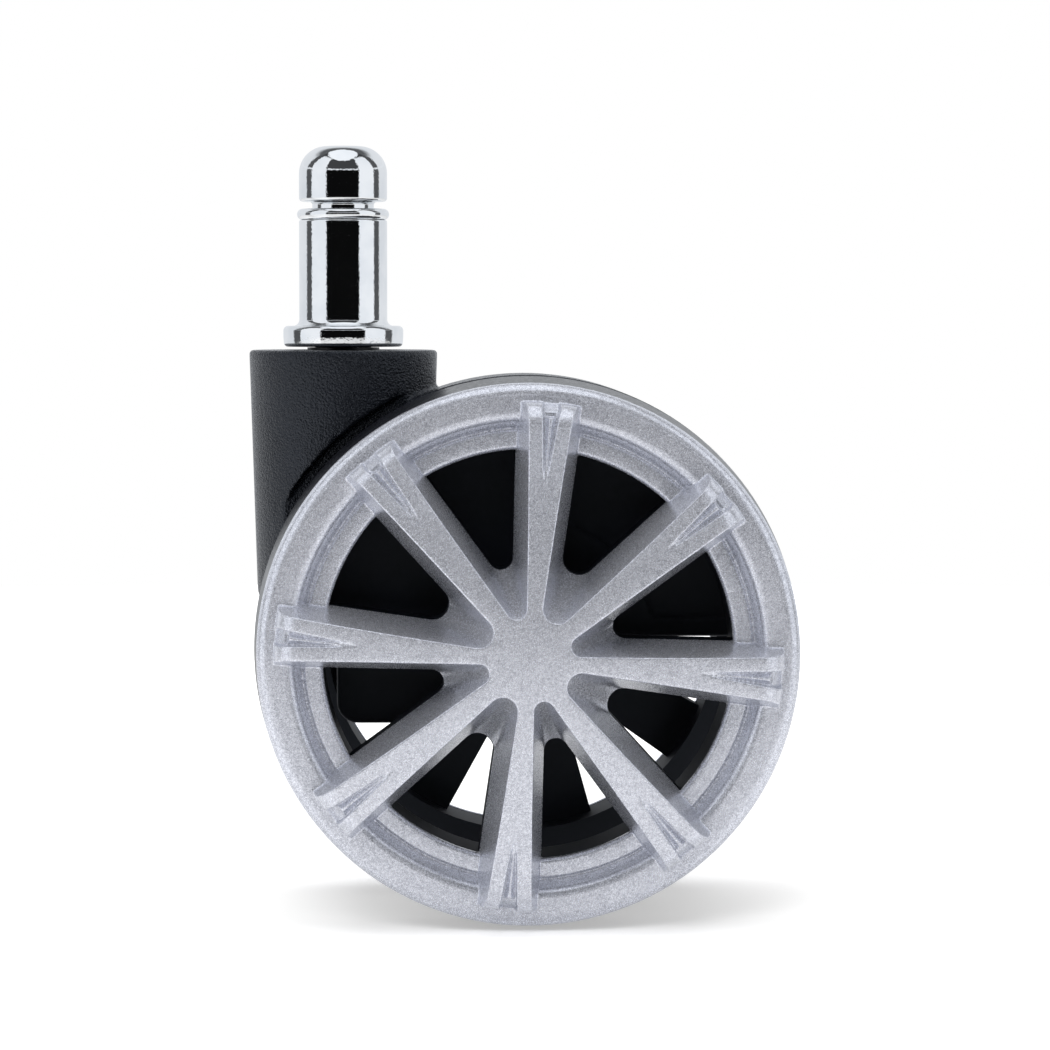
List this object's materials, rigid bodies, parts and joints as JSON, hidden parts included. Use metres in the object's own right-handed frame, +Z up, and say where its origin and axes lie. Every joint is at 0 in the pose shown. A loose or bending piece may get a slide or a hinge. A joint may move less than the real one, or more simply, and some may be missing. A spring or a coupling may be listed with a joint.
{
  "type": "office chair castor",
  "caption": "Twin-wheel swivel castor for an office chair, with a grip-ring stem and forked-spoke rims on both wheels.",
  "frame": {"origin": "on the stem's axis, where the straight grip of the stem begins, just above the collar's flare", "axes": "+Z up along the stem towards its head, +X from the stem towards the axle, Y along the axle with the left wheel at -Y"},
  "size_m": [0.0679, 0.0602, 0.0955],
  "materials": {
    "chrome": "bright plated, turned",
    "steel": "turned, zinc plated",
    "spring_steel": "phosphated spring steel",
    "black_nylon": "fine moulded texture",
    "black_tread": "smooth moulded polyurethane",
    "bush_plastic": "smooth acetal",
    "silver_paint": "silver metallic paint on a moulding, fine speckle"
  },
  "bodies": {
    "stem": {"stem": "chrome", "grip_ring": "chrome", "stem_clip": "spring_steel"},
    "swivel": {"housing": "black_nylon", "stem_bush": "bush_plastic", "axle": "steel", "left_washer": "steel", "right_washer": "steel", "left_axle_clip": "spring_steel", "right_axle_clip": "spring_steel"},
    "left_wheel": {"left_wheel_core": "black_nylon", "left_tread": "black_tread", "left_spoke_cover": "silver_paint", "left_hub_bush": "bush_plastic"},
    "right_wheel": {"right_wheel_core": "black_nylon", "right_tread": "black_tread", "right_spoke_cover": "silver_paint", "right_hub_bush": "bush_plastic"}
  },
  "joints": [
    {"name": "swivel_turn", "type": "hinge", "parent": "stem", "child": "swivel", "pos_m": [0, 0, -0.0038], "axis": [0, 0, 1], "continuous": true},
    {"name": "left_roll", "type": "hinge", "parent": "swivel", "child": "left_wheel", "pos_m": [0.02265, 0, -0.0404], "axis": [0, 1, 0], "continuous": true},
    {"name": "right_roll", "type": "hinge", "parent": "swivel", "child": "right_wheel", "pos_m": [0.02265, 0, -0.0404], "axis": [0, 1, 0], "continuous": true}
  ]
}
